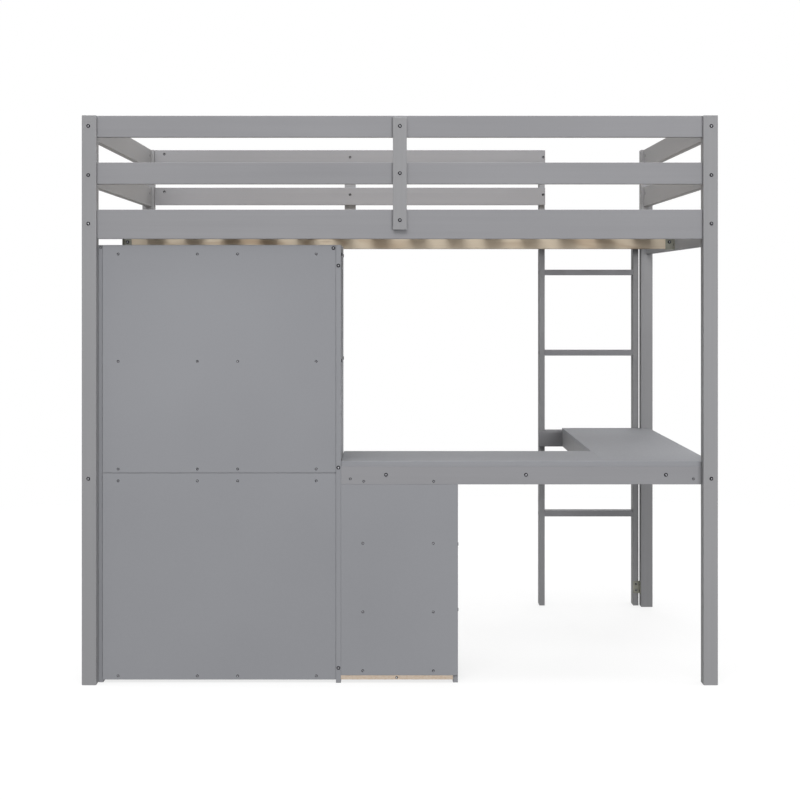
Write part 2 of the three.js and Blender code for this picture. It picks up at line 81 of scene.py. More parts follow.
# ---------------------------------------------------------------- shader helper

class Nodes:
    """A node tree under construction. Inputs are values or the output sockets of other nodes."""

    def __init__(self, tree):
        self.tree = tree
        tree.nodes.clear()

    def feed(self, socket, value):
        if isinstance(value, bpy.types.NodeSocket):
            self.tree.links.new(value, socket)
        else:
            socket.default_value = value

    def add(self, kind, settings=None, **inputs):
        node = self.tree.nodes.new("ShaderNode" + kind)
        for key, value in (settings or {}).items():
            setattr(node, key, value)
        for key, value in inputs.items():
            self.feed(node.inputs[key.replace("_", " ")], value)
        return node

    def math(self, operation, a, b=0.0):
        node = self.add("Math", {"operation": operation})
        self.feed(node.inputs[0], a)
        self.feed(node.inputs[1], b)
        return node.outputs[0]

    def between(self, value, low, high, to_low=0.0, to_high=1.0):
        node = self.add("MapRange", None, Value=value, From_Min=low, From_Max=high,
                        To_Min=to_low, To_Max=to_high)
        return node.outputs["Result"]

    def blend(self, factor, a, b):
        node = self.add("MixRGB", None, Fac=factor, Color1=a, Color2=b)
        return node.outputs["Color"]

    def noise(self, vector, scale, detail=2.0, roughness=0.5):
        node = self.add("TexNoise", None, Vector=vector, Scale=scale, Detail=detail, Roughness=roughness)
        return node.outputs["Fac"]


class Shader(Nodes):
    """A material under construction."""

    def __init__(self, name):
        self.material = bpy.data.materials.new(name)
        self.material.use_nodes = True
        super().__init__(self.material.node_tree)
        self.bsdf = self.add("BsdfPrincipled")
        self.output = self.add("OutputMaterial", None, Surface=self.bsdf.outputs["BSDF"])

    def surface(self, **inputs):
        for key, value in inputs.items():
            self.feed(self.bsdf.inputs[key.replace("_", " ")], value)

    def place(self, spread=(7.3, 3.1, 5.7)):
        """Position on the object, moved by a different amount on each object."""
        here = self.add("TexCoord").outputs["Object"]
        pick = self.add("ObjectInfo").outputs["Random"]
        move = self.add("VectorMath", {"operation": "SCALE"}, Scale=pick)
        move.inputs[0].default_value = spread
        total = self.add("VectorMath", {"operation": "ADD"})
        self.feed(total.inputs[0], here)
        self.feed(total.inputs[1], move.outputs[0])
        return total.outputs[0]

    def stretched(self, vector, axis, along, across):
        scale = [across] * 3
        scale[axis] = along
        node = self.add("Mapping", None, Vector=vector, Scale=scale)
        return node.outputs["Vector"]

    def bumps(self, *layers):
        """Stacks (height, distance in metres, strength) layers and feeds the normal."""
        normal = None
        for height, distance, strength in layers:
            node = self.add("Bump", None, Height=height, Distance=distance, Strength=strength)
            if normal is not None:
                self.feed(node.inputs["Normal"], normal)
            normal = node.outputs["Normal"]
        self.feed(self.bsdf.inputs["Normal"], normal)


def colour(red, green, blue):
    """A linear colour with alpha from sRGB values of 11 to 255."""
    return (*(((value / 255 + 0.055) / 1.055) ** 2.4 for value in (red, green, blue)), 1.0)


# ---------------------------------------------------------------- materials

# The darkest and the lightest tone of the grey paint: on wood along X, on wood along Y or Z, and on board.
# The lighter tone on wood along Y or Z is partly painted light: it brightens the posts and the end rails'
# inner faces the way more light on them would.
RAIL_TONES = (colour(136, 136, 139), colour(143, 143, 146))
POST_TONES_WITH_PAINTED_LIGHT = (colour(139, 139, 141), colour(146, 146, 148))
BOARD_TONES = (colour(136, 137, 141), colour(143, 144, 148))
AXES = "xyz"
ALONG_X, ALONG_Y, ALONG_Z = range(3)


def painted_wood(axis, tones):
    """Grey satin lacquer on solid wood. The grain, which runs along the axis, shows faintly through it."""
    s = Shader(f"grey_lacquer_on_wood_{AXES[axis]}")
    here = s.place()
    grain = s.noise(s.stretched(here, axis, 1.2, 55), 1.0, 5.0, 0.6)
    pores = s.noise(s.stretched(here, axis, 12, 420), 1.0, 2.0)
    cloud = s.noise(here, 1.7, 2.0)
    peel = s.noise(here, 650, 1.0)
    tone = s.math("ADD", s.math("MULTIPLY", grain, 0.45), s.math("MULTIPLY", cloud, 0.55))
    s.surface(
        Base_Color=s.blend(s.between(tone, 0.3, 0.7), *tones),
        Roughness=s.between(s.math("ADD", grain, peel), 0.6, 1.4, 0.46, 0.58),
        Specular_IOR_Level=0.2,
    )
    s.bumps((grain, 0.0005, 0.5), (pores, 0.00012, 0.5), (peel, 0.00003, 0.4))
    return s.material


def painted_board():
    """Grey satin lacquer rolled on smooth board."""
    s = Shader("grey_lacquer_on_board")
    here = s.place()
    cloud = s.noise(here, 1.3, 3.0)
    roller = s.noise(here, 150, 2.0, 0.6)
    peel = s.noise(here, 700, 1.0)
    tone = s.math("ADD", s.math("MULTIPLY", cloud, 0.8), s.math("MULTIPLY", roller, 0.2))
    s.surface(
        Base_Color=s.blend(s.between(tone, 0.3, 0.7), *BOARD_TONES),
        Roughness=s.between(roller, 0.3, 0.7, 0.48, 0.58),
        Specular_IOR_Level=0.2,
    )
    s.bumps((roller, 0.00008, 0.5), (peel, 0.00003, 0.5))
    return s.material


def bare_wood(name, axis, pale, ring, knots=True):
    """Planed softwood. Growth rings run along the axis and bend round small knots."""
    s = Shader(f"{name}_{AXES[axis]}")
    here = s.place()
    wander = s.noise(s.stretched(here, axis, 1.5, 9), 1.0, 2.0)
    cell = s.add("TexVoronoi", None, Vector=s.stretched(here, axis, 2.4, 13), Scale=1.0)
    near = s.between(cell.outputs["Distance"], 0.30, 0.02)
    across = s.add("SeparateXYZ", None, Vector=here).outputs[(axis + 1) % 3]
    phase = s.math("ADD", s.math("MULTIPLY", across, 520), s.math("MULTIPLY", wander, 34))
    if knots:
        phase = s.math("ADD", phase, s.math("MULTIPLY", near, 9))
    rings = s.between(s.math("SINE", phase), -1, 1)
    late = s.math("POWER", rings, 3.0)
    fibre = s.noise(s.stretched(here, axis, 6, 620), 1.0, 3.0)
    cloud = s.noise(here, 6, 2.0)
    shade = s.math("ADD", s.math("MULTIPLY", late, 0.55), s.math("MULTIPLY", fibre, 0.35))
    wood = s.blend(s.math("MULTIPLY", shade, s.between(cloud, 0.2, 0.8, 0.5, 1.1)), pale, ring)
    if knots:
        core = s.math("MULTIPLY", s.between(near, 0.72, 0.95), 0.8)
        wood = s.blend(core, wood, colour(112, 70, 40))
    s.surface(
        Base_Color=wood,
        Roughness=s.between(fibre, 0.3, 0.7, 0.62, 0.8),
        Specular_IOR_Level=0.3,
    )
    s.bumps((late, 0.0002, 0.4), (fibre, 0.00015, 0.6))
    return s.material


def raw_board():
    """The sawn edge and face of unpainted particle board with pale flecks."""
    s = Shader("raw_particle_board")
    here = s.place()
    chips = s.add("TexVoronoi", None, Vector=s.stretched(here, 0, 140, 420), Scale=1.0)
    fleck = s.noise(here, 520, 3.0, 0.7)
    warm = s.blend(s.noise(here, 9, 2.0), colour(192, 180, 166), colour(202, 192, 180))
    dark = s.math("MULTIPLY", chips.outputs["Distance"], 0.6)
    s.surface(
        Base_Color=s.blend(dark, warm, colour(172, 140, 108)),
        Roughness=s.between(fleck, 0.3, 0.7, 0.75, 0.9),
    )
    s.bumps((chips.outputs["Distance"], 0.0003, 0.6), (fleck, 0.0002, 0.5))
    return s.material


def metal(name, tint, rough, mottle=70):
    """Plated steel with fine drawn lines. Its tone is uneven, in patches of 1 / mottle metres."""
    s = Shader(name)
    here = s.place()
    lines = s.noise(s.stretched(here, ALONG_X, 30, 1500), 1.0, 2.0)
    cloud = s.noise(here, mottle, 2.0)
    dark = tuple(c * 0.72 for c in tint[:3]) + (1.0,)
    s.surface(
        Base_Color=s.blend(s.between(cloud, 0.3, 0.7), dark, tint),
        Metallic=1.0,
        Roughness=s.between(lines, 0.3, 0.7, rough - 0.06, rough + 0.08),
    )
    s.bumps((lines, 0.00003, 0.5))
    return s.material


WARP_PITCH = 1.6 * MM
WEFT_PITCH = 2.2 * MM


def webbing():
    """Flat woven polyester tape."""
    s = Shader("woven_tape")
    here = s.place((0, 0, 0))
    parts = s.add("SeparateXYZ", None, Vector=here).outputs
    warp = s.math("SINE", s.math("MULTIPLY", parts[1], 2 * math.pi / WARP_PITCH))
    weft = s.math("SINE", s.math("MULTIPLY", parts[0], 2 * math.pi / WEFT_PITCH))
    weave = s.between(s.math("MULTIPLY", warp, weft), -1, 1)
    fuzz = s.noise(here, 900, 2.0)
    s.surface(
        Base_Color=s.blend(weave, colour(196, 194, 188), colour(232, 230, 224)),
        Roughness=s.between(fuzz, 0.3, 0.7, 0.8, 0.95),
        Sheen_Weight=0.2,
    )
    s.bumps((weave, 0.0003, 0.7), (fuzz, 0.0001, 0.4))
    return s.material


# Wood along Y and Z gets the lighter tones, which are partly painted light on the posts and end rails
PAINT = [painted_wood(axis, tones) for axis, tones in enumerate((RAIL_TONES, POST_TONES_WITH_PAINTED_LIGHT, POST_TONES_WITH_PAINTED_LIGHT))]
BOARD = painted_board()
PINE = [bare_wood("pine", axis, colour(219, 206, 186), colour(177, 153, 126)) for axis in range(3)]
BIRCH = bare_wood("birch_plywood", ALONG_X, colour(228, 208, 172), colour(204, 176, 132), knots=False)
RAW = raw_board()
ZINC = metal("zinc_plate", colour(176, 176, 180), 0.34)
PLATE = metal("dark_zinc_plate", colour(158, 158, 148), 0.46, mottle=26)
# Black metal that is partly painted shade: on the heads it stands in for the shadow round them, and in the
# hinge screws' recesses for the shade in them
BLACK = metal("black_oxide_and_painted_shade", colour(62, 62, 66), 0.42)
BRIGHT = metal("bright_zinc", colour(214, 214, 218), 0.26)
TAPE = webbing()


# ---------------------------------------------------------------- finish of the CAD nodes

SOLID_EDGE = 1.8 * MM       # rounding of the edges of solid wood
BOARD_EDGE = 1.1 * MM       # and of board
TIGHT_EDGE = 0.6 * MM       # board edges that meet in a joint
PLY_EDGE = 0.8 * MM
PINE_EDGE = 1.5 * MM
RAW_EDGE = 0.5 * MM
METAL_EDGE = 0.4 * MM

# Start of a node's name, material, edge radius. The first match counts.
FINISHES = [
    ("post_", PAINT[ALONG_Z], SOLID_EDGE),
    ("rear_guard_stile", PAINT[ALONG_Z], SOLID_EDGE),
    ("front_guard_stile", PAINT[ALONG_Z], SOLID_EDGE),
    ("rear_", PAINT[ALONG_X], SOLID_EDGE),
    ("front_", PAINT[ALONG_X], SOLID_EDGE),
    ("left_end_", PAINT[ALONG_Y], SOLID_EDGE),
    ("right_end_", PAINT[ALONG_Y], SOLID_EDGE),
    ("ladder_stile", PAINT[ALONG_Z], SOLID_EDGE),
    ("ladder_step", PAINT[ALONG_X], SOLID_EDGE),
    ("ladder_tie_plate", PLATE, METAL_EDGE),
    ("beam_hanger", PLATE, METAL_EDGE),
    ("centre_beam", PINE[ALONG_X], PINE_EDGE),
    ("slat_roll", PINE[ALONG_Y], PINE_EDGE),
    ("desk_rear_apron", PAINT[ALONG_X], BOARD_EDGE),
    ("desk_main_top", BOARD, TIGHT_EDGE),
    ("desk_return_top", BOARD, TIGHT_EDGE),
    ("desk_front_rail", PAINT[ALONG_X], SOLID_EDGE),
    ("desk_return_apron", PAINT[ALONG_Y], SOLID_EDGE),
    ("pedestal_bottom", RAW, RAW_EDGE),
    ("drawer_box_", BIRCH, PLY_EDGE),
    ("", BOARD, BOARD_EDGE),
]

BEVEL_FROM = math.radians(42)
FLAT_WITHIN = math.radians(0.5)
NORMAL_WEIGHT = 80


def welding_group():
    """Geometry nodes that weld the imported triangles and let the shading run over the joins."""
    group = bpy.data.node_groups.new("weld", "GeometryNodeTree")
    group.interface.new_socket("Geometry", in_out="INPUT", socket_type="NodeSocketGeometry")
    group.interface.new_socket("Geometry", in_out="OUTPUT", socket_type="NodeSocketGeometry")
    drop = group.nodes.new("GeometryNodeRemoveAttribute")
    drop.inputs["Name"].default_value = "custom_normal"
    weld = group.nodes.new("GeometryNodeMergeByDistance")
    weld.inputs["Distance"].default_value = 0.01 * MM
    smooth = group.nodes.new("GeometryNodeSetShadeSmooth")
    chain = [group.nodes.new("NodeGroupInput"), drop, weld, smooth, group.nodes.new("NodeGroupOutput")]
    for one, following in zip(chain, chain[1:]):
        group.links.new(one.outputs["Geometry"], following.inputs["Geometry"])
    return group


WELD = welding_group()


def soften(piece, radius, welded=True):
    """Gives a sharp-edged piece rounded edges that catch the light."""
    if welded:
        piece.modifiers.new("weld", "NODES").node_group = WELD
        flat = piece.modifiers.new("flat", "DECIMATE")
        flat.decimate_type = "DISSOLVE"
        flat.angle_limit = FLAT_WITHIN
    bevel = piece.modifiers.new("round", "BEVEL")
    bevel.width = radius
    bevel.segments = 3
    bevel.limit_method = "ANGLE"
    bevel.angle_limit = BEVEL_FROM
    bevel.use_clamp_overlap = True
    normals = piece.modifiers.new("normals", "WEIGHTED_NORMAL")
    normals.keep_sharp = True
    normals.weight = NORMAL_WEIGHT


for node_name, node in NODES.items():
    finish = next(entry for entry in FINISHES if node_name.startswith(entry[0]))
    node.data.materials.clear()
    node.data.materials.append(finish[1])
    soften(node, finish[2])


# ---------------------------------------------------------------- mesh helpers

def low(node_name, axis):
    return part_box(node_name)[0][axis]


def high(node_name, axis):
    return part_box(node_name)[1][axis]


def middle(node_name, axis):
    return (low(node_name, axis) + high(node_name, axis)) / 2


def add_piece(name, mesh, materials, body):
    """Turns mesh data, a bmesh, into a piece that rides on a body."""
    data = bpy.data.meshes.new(name)
    mesh.to_mesh(data)
    mesh.free()
    for material in materials:
        data.materials.append(material)
    for polygon in data.polygons:
        polygon.use_smooth = True
    piece = bpy.data.objects.new(name, data)
    bpy.context.scene.collection.objects.link(piece)
    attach(piece, body)
    return piece


def add_loft(mesh, rings, matrix, inner_from=None):
    """A closed skin through rings of as many points each. Material 1 begins at ring inner_from."""
    rows = [[mesh.verts.new(matrix @ Vector(point)) for point in ring] for ring in rings]
    count = len(rows[0])
    for index, (row, following) in enumerate(zip(rows, rows[1:])):
        for i in range(count):
            j = (i + 1) % count
            face = mesh.faces.new((row[i], row[j], following[j], following[i]))
            face.material_index = int(inner_from is not None and index >= inner_from)
    mesh.faces.new(tuple(reversed(rows[0])))
    last = mesh.faces.new(tuple(rows[-1]))
    last.material_index = int(inner_from is not None)


def add_block(mesh, lows, highs):
    """An axis-aligned block between two corners."""
    made = bmesh.ops.create_cube(mesh, size=1.0)["verts"]
    size = Vector(highs) - Vector(lows)
    centre = (Vector(highs) + Vector(lows)) / 2
    for vert in made:
        vert.co = Vector(c * s for c, s in zip(vert.co, size)) + centre
    return made


# ---------------------------------------------------------------- heads of bolts, screws and nuts

SECTORS = 48


def round_outline(radius):
    turns = [2 * math.pi * i / SECTORS for i in range(SECTORS)]
    return [(radius * math.cos(turn), radius * math.sin(turn)) for turn in turns]


def polar_outline(reach):
    """Points at distance reach(angle) round the middle."""
    turns = [2 * math.pi * (i + 0.5) / SECTORS for i in range(SECTORS)]
    return [(reach(turn) * math.cos(turn), reach(turn) * math.sin(turn)) for turn in turns]


def hex_reach(size):
    return lambda turn: size / math.cos(turn % (math.pi / 3) - math.pi / 6)


def slit_reach(half_length, share, sine):
    """Distance to a slit's edge, given the sine of the turn from its axis. share is width by length."""
    return min(half_length, share * half_length / max(sine, 1e-6))


def cross_reach(size):
    return lambda turn: slit_reach(size, 0.2, min(abs(math.sin(turn)), abs(math.cos(turn))))


def slot_reach(size):
    return lambda turn: slit_reach(size, 0.17, abs(math.sin(turn)))


# In mm. rise is how far a head stands out, and flat the share of its radius that is flat.
Head = namedtuple("Head", "radius rise flat recess size depth")
HEADS = {
    "bolt": Head(6.0, 2.4, 0.72, hex_reach, 2.4, 1.9),
    "flush_bolt": Head(6.0, 0.5, 0.90, hex_reach, 2.4, 0.45),
    "screw": Head(4.3, 0.8, 0.80, cross_reach, 3.0, 0.6),
    "nut": Head(5.0, 0.6, 0.86, slot_reach, 3.6, 0.5),
}
# The black of each head is partly painted shade: it stands in for the shadow in a counterbored hole round a
# zinc head, and the bright zinc shows in the recess.
HEAD_METALS = [BLACK, BRIGHT]   # of the head and of its recess
HEAD_SUNK = 0.5
RIM_DROP = 0.15                 # of the recess's rounded rim
RIM_SHARE = 1.1                 # the rim is this much larger than the recess
TURN_STEP = 1.9                 # each head is turned by this much more than the one before


def add_head(mesh, kind, spot, normal, turn):
    head = HEADS[kind]
    aim = Vector(normal).to_track_quat("Z", "Y").to_matrix().to_4x4()
    matrix = Matrix.Translation(spot) @ aim @ Matrix.Rotation(turn, 4, "Z") @ Matrix.Scale(MM, 4)
    # Each entry is a share of the radius and a height
    profile = [(1, -HEAD_SUNK), (1, head.rise * 0.25), (0.97, head.rise * 0.42),
               ((1 + head.flat) / 2, head.rise * 0.82), (head.flat, head.rise)]
    rings = [[(x, y, z) for x, y in round_outline(head.radius * share)] for share, z in profile]
    recess = polar_outline(head.recess(head.size))
    rim = polar_outline(head.recess(head.size * RIM_SHARE))
    rings.append([(x, y, head.rise) for x, y in rim])
    rings.append([(x, y, head.rise - RIM_DROP) for x, y in recess])
    rings.append([(x, y, head.rise - head.depth) for x, y in recess])
    add_loft(mesh, rings, matrix, inner_from=len(profile))


def add_heads(name, kind, spots):
    """One piece with a head at each (point, outward normal)."""
    mesh = bmesh.new()
    for index, (spot, normal) in enumerate(spots):
        add_head(mesh, kind, spot, normal, turn=index * TURN_STEP)
    add_piece(name, mesh, HEAD_METALS, "root")


REAR, FRONT, RIGHT, LEFT = (0, 1, 0), (0, -1, 0), (1, 0, 0), (-1, 0, 0)

# Barrel nuts, from the end and the top edge of a rail
NUT_INSET = 39 * MM
SIDE_NUT_DROP = 16 * MM
END_NUT_DROP = 25.6 * MM
STILE_NUT_DROP = 28 * MM

# Bolts of the bed
END_BOLT_X = 0.989
END_BOLT_Z = (1.776, 1.620, 1.466, 0.656)
STILE_BOLT_Z = (1.776, 1.626, 1.477)
STEP_BOLT_Y = (18 * MM, 42 * MM)    # from a step's front edge
LADDER_NUT_INSET = 8 * MM           # from the ladder end of a guard rail

# Desk and pedestal. Places are (x, z), and (y, z) on the side.
APRON_BOLTS = [(x, 0.665) for x in (0.044, -0.403, -0.850)]
APRON_SCREWS = [(0.158, 0.652), (-0.938, 0.652), (0.115, 0.644), (-0.108, 0.644)]
PEDESTAL_SCREW_X = (0.118, -0.107)
PEDESTAL_FOOT_SCREW_Z = 0.039
PEDESTAL_BOTTOM_SCREW_X = 0.010
PEDESTAL_SIDE_BOLTS = [(y, z) for z in (0.230, 0.440) for y in (0.43, 0.685)]

# Bookcase. Each level panel behind the backs has a row of screws, and the boxed deck has one in each back.
BACK_SCREW_X = (0.900, 0.647, 0.518, 0.267)
DECK_SCREW_DROP = 12 * MM           # from the deck's top
DECK_SCREW_RISE = 9 * MM            # from its underside
BOTTOM_SCREW_RISE = 7 * MM
SIDE_BOLT_Y = (0.43, 0.66)
SIDE_EDGE_BOLT_Z = (1.333, 0.688, 0.048)
BACK_CORNER_BOLTS = [(0.212, 1.389)]
SIDE_CORNER_SCREWS = [(0.957, 1.391)]

# Beam hangers and the ladder's tie plate
HANGER_PLATE_T = 3 * MM
HANGER_SCREWS = [(y, z) for z, out in ((1.417, 0.020), (1.477, 0.012)) for y in (-out, out)]
CHEEK_OUT = 13 * MM                 # outer face of a hanger's cheek from the middle of the beam
CHEEK_BOLT_X, CHEEK_BOLT_Z = 0.968, 1.4265
TIE_PLATE_T = 3 * MM
TIE_SCREW_Z = (0.062, 0.086)
TIE_SCREW_SHIFT = (2 * MM, 4 * MM)  # from the middle of the plate's box, along X and along Y


def rear_heads(name, kind, y, places):
    """Heads on a face that looks to the rear, at (x, z) places."""
    add_heads(name, kind, [((x, y, z), REAR) for x, z in places])


# End rails run between the posts of one end: their bolts pass through the posts' front and rear faces
for end in ("left", "right"):
    rails = [f"{end}_end_{kind}" for kind in ("rail_top", "rail_middle", "bed_rail", "desk_rail")]
    for row, face, side in (("rear", REAR, high), ("front", FRONT, low)):
        post = f"post_{row}_{end}"
        y = side(post, 1)
        x = math.copysign(END_BOLT_X, middle(post, 0))
        add_heads(f"bolts_{row}_{end}_end_rails", "bolt", [((x, y, z), face) for z in END_BOLT_Z])
    inward = RIGHT if end == "left" else LEFT
    edge = high if end == "left" else low
    spots = []
    for rail in rails:
        for y in (low(rail, 1) + NUT_INSET, high(rail, 1) - NUT_INSET):
            spots.append(((edge(rail, 0), y, high(rail, 2) - END_NUT_DROP), inward))
    add_heads(f"nuts_{end}_end_rails", "nut", spots)

# Side rails run between the posts of one side: their bolts pass through the posts' outer side faces
for row, inward, inner_side in (("rear", FRONT, low), ("front", REAR, high)):
    rails = [f"{row}_guard_rail_top", f"{row}_guard_rail_middle", f"{row}_bed_rail"]
    for end, face, side in (("left", LEFT, low), ("right", RIGHT, high)):
        post = f"post_{row}_{end}"
        stops_at_ladder = row == "front" and end == "left"
        held = [rails[2]] if stops_at_ladder else rails
        y = middle(rails[0], 1)
        add_heads(f"bolts_{row}_{end}_side_rails", "bolt",
                  [((side(post, 0), y, middle(rail, 2)), face) for rail in held])
    spots = []
    for rail in rails[:2]:
        z = high(rail, 2) - SIDE_NUT_DROP
        y = inner_side(rail, 1)
        ends = [high(rail, 0) - NUT_INSET]
        if row == "rear":
            ends.append(low(rail, 0) + NUT_INSET)
        spots += [((x, y, z), inward) for x in ends]
    add_heads(f"nuts_{row}_guard_rails", "nut", spots)

# Guard stiles: bolts outside, their nuts on the rails' inner faces
for row, outward, inward, outer_side, inner_side in (
        ("rear", REAR, FRONT, high, low), ("front", FRONT, REAR, low, high)):
    stile = f"{row}_guard_stile"
    rails = [f"{row}_guard_rail_top", f"{row}_guard_rail_middle", f"{row}_bed_rail"]
    add_heads(f"bolts_{stile}", "bolt",
              [((middle(stile, 0), outer_side(stile, 1), z), outward) for z in STILE_BOLT_Z])
    x = middle(stile, 0)
    spots = [((x, inner_side(rail, 1), high(rail, 2) - STILE_NUT_DROP), inward) for rail in rails[:2]]
    add_heads(f"nuts_{stile}", "nut", spots)

# Ladder: bolts through the stiles into the steps, and nuts that hold its inner stile to the guard rails
steps = [f"ladder_step_{number}" for number in range(1, 5)]
for stile, outward, side in (("ladder_stile_inner", RIGHT, high), ("ladder_stile_outer", LEFT, low)):
    x = side(stile, 0)
    spots = [((x, low(step, 1) + y, middle(step, 2)), outward) for step in steps for y in STEP_BOLT_Y]
    add_heads(f"bolts_{stile}", "flush_bolt", spots)
spots = []
for rail in ("front_guard_rail_top", "front_guard_rail_middle"):
    spots.append(((low(rail, 0) + LADDER_NUT_INSET, high(rail, 1), high(rail, 2) - STILE_NUT_DROP), REAR))
add_heads("screws_ladder_stile", "nut", spots)

# Desk and pedestal: bolts and screws along the rear apron, and screws into the panels behind the back
rear_heads("bolts_desk_rear_apron", "bolt", high("desk_rear_apron", 1), APRON_BOLTS)
rear_heads("screws_desk_rear_apron", "screw", high("desk_rear_apron", 1), APRON_SCREWS)
rows = (middle("pedestal_upper_divider", 2), middle("pedestal_lower_divider", 2), PEDESTAL_FOOT_SCREW_Z)
places = [(x, z) for x in PEDESTAL_SCREW_X for z in rows]
rear_heads("screws_pedestal_back", "screw", high("pedestal_back", 1), places)
bottom = "pedestal_bottom"
rear_heads("screws_pedestal_bottom", "screw", high(bottom, 1), [(PEDESTAL_BOTTOM_SCREW_X, middle(bottom, 2))])
side_x = low("pedestal_side", 0)
add_heads("bolts_pedestal_side", "bolt", [((side_x, y, z), LEFT) for y, z in PEDESTAL_SIDE_BOLTS])

# Bookcase: rows of screws in the backs, and bolts through the sides into the level panels. The left side has
# none at the bottom, where they would be inside the pedestal.
back_y = high("bookcase_back_upper", 1)
deck = "bookcase_middle_deck"
rows = (middle("bookcase_top", 2), middle("bookcase_shelf", 2), high(deck, 2) - DECK_SCREW_DROP,
        low(deck, 2) + DECK_SCREW_RISE, low("bookcase_bottom", 2) + BOTTOM_SCREW_RISE)
rear_heads("screws_bookcase_backs", "screw", back_y, [(x, z) for z in rows for x in BACK_SCREW_X])
for side_name, outward, edge, decks in (
        ("bookcase_side_right", RIGHT, high, ("bookcase_top", "bookcase_shelf", "bookcase_bottom")),
        ("bookcase_side_left", LEFT, low, ("bookcase_top", "bookcase_shelf"))):
    spots = [((edge(side_name, 0), y, middle(deck, 2)), outward) for deck in decks for y in SIDE_BOLT_Y]
    add_heads(f"bolts_{side_name}", "bolt", spots)
side_edge = [(middle("bookcase_side_left", 0), z) for z in SIDE_EDGE_BOLT_Z]
rear_heads("bolts_bookcase_side_edge", "bolt", high("bookcase_side_left", 1), side_edge)
rear_heads("bolt_bookcase_back_corner", "bolt", back_y, BACK_CORNER_BOLTS)
rear_heads("screw_bookcase_side_corner", "screw", high("bookcase_side_right", 1), SIDE_CORNER_SCREWS)

# Beam hangers: screws into the end rail, and a bolt through the cheeks
for end, inward, plate_x in (("left", RIGHT, low("beam_hanger_left", 0) + HANGER_PLATE_T),
                             ("right", LEFT, high("beam_hanger_right", 0) - HANGER_PLATE_T)):
    hanger = f"beam_hanger_{end}"
    beam_y = middle(hanger, 1)
    add_heads(f"screws_{hanger}", "screw", [((plate_x, beam_y + y, z), inward) for y, z in HANGER_SCREWS])
    cheek_x = math.copysign(CHEEK_BOLT_X, middle(hanger, 0))
    rear_heads(f"bolts_{hanger}", "bolt", beam_y + CHEEK_OUT, [(cheek_x, CHEEK_BOLT_Z)])

# The ladder's tie plate: two screws in each of its two wings
tie = "ladder_tie_plate"
tie_x, tie_y = low(tie, 0) + TIE_PLATE_T, low(tie, 1) + TIE_PLATE_T
spots = [((middle(tie, 0) + TIE_SCREW_SHIFT[0], tie_y, z), REAR) for z in TIE_SCREW_Z]
spots += [((tie_x, middle(tie, 1) + TIE_SCREW_SHIFT[1], z), RIGHT) for z in TIE_SCREW_Z]
add_heads("screws_ladder_tie_plate", "screw", spots)


# ---------------------------------------------------------------- slats

SLAT_COUNT = 14
SLAT_W = 66 * MM
SLAT_PITCH = 133 * MM
SLAT_T = 15 * MM
SLAT_EDGE = 2.2 * MM
TAPE_W = 30 * MM
TAPE_T = 1.2 * MM
TAPE_SAG = 2.5 * MM
TAPE_INSET = 243 * MM       # middle of a tape from the slats' ends
TAPE_EDGE = 0.3 * MM
TAPE_STEPS = 12             # lengthwise parts of a tape in each pitch
STAPLE_HALF_L = 5 * MM
STAPLE_HALF_T = 0.6 * MM
STAPLE_EDGE = 0.25 * MM
STAPLE_SHIFT = 12 * MM      # to each side of a slat's middle

roll_low, roll_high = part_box("slat_roll")
slat_bottom = roll_high.z - SLAT_T
first_slat = -SLAT_PITCH * (SLAT_COUNT - 1) / 2
tape_lines = (roll_low.y + TAPE_INSET, roll_high.y - TAPE_INSET)


def add_slat(index):
    """One planed slat with eased edges."""
    x = first_slat + index * SLAT_PITCH
    mesh = bmesh.new()
    add_block(mesh, (x - SLAT_W / 2, roll_low.y, slat_bottom), (x + SLAT_W / 2, roll_high.y, roll_high.z))
    bmesh.ops.bevel(mesh, geom=list(mesh.edges), offset=SLAT_EDGE, segments=3, affect="EDGES", profile=0.5)
    slat = add_piece(f"slat_{index + 1:02d}", mesh, [PINE[ALONG_Y]], "root")
    slat.modifiers.new("normals", "WEIGHTED_NORMAL").weight = NORMAL_WEIGHT
    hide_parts("slat_roll")


def add_tape(name, y):
    """A tape that runs under the slats and sags a little between them."""
    mesh = bmesh.new()
    start = first_slat - SLAT_W / 4
    length = SLAT_PITCH * (SLAT_COUNT - 1) + SLAT_W / 2
    parts = (SLAT_COUNT - 1) * TAPE_STEPS
    rings = []
    for i in range(parts + 1):
        x = start + length * i / parts
        phase = ((x - first_slat) / SLAT_PITCH) % 1.0
        past_slat = min(phase, 1 - phase) * SLAT_PITCH - SLAT_W / 2
        share = max(0.0, past_slat / ((SLAT_PITCH - SLAT_W) / 2))
        top = slat_bottom - TAPE_SAG * (1 - (1 - share) ** 2)
        rings.append([(x, y - TAPE_W / 2, top), (x, y - TAPE_W / 2, top - TAPE_T),
                      (x, y + TAPE_W / 2, top - TAPE_T), (x, y + TAPE_W / 2, top)])
    add_loft(mesh, rings, Matrix.Identity(4))
    bmesh.ops.recalc_face_normals(mesh, faces=mesh.faces)
    tape = add_piece(name, mesh, [TAPE], "root")
    soften(tape, TAPE_EDGE, welded=False)
    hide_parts("slat_roll")


def add_staples():
    """Two staples to a slat on each tape."""
    mesh = bmesh.new()
    half = Vector((STAPLE_HALF_T, STAPLE_HALF_L, STAPLE_HALF_T))
    for y in tape_lines:
        for index in range(SLAT_COUNT):
            for shift in (-STAPLE_SHIFT, STAPLE_SHIFT):
                centre = Vector((first_slat + index * SLAT_PITCH + shift, y, slat_bottom - TAPE_T))
                add_block(mesh, centre - half, centre + half)
    bmesh.ops.bevel(mesh, geom=list(mesh.edges), offset=STAPLE_EDGE, segments=2, affect="EDGES", profile=0.5)
    staples = add_piece("tape_staples", mesh, [BRIGHT], "root")
    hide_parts("slat_roll")


for number in range(SLAT_COUNT):
    add_slat(number)
add_tape("slat_tape_front", tape_lines[0])
add_tape("slat_tape_rear", tape_lines[1])
add_staples()


# ---------------------------------------------------------------- door hinges

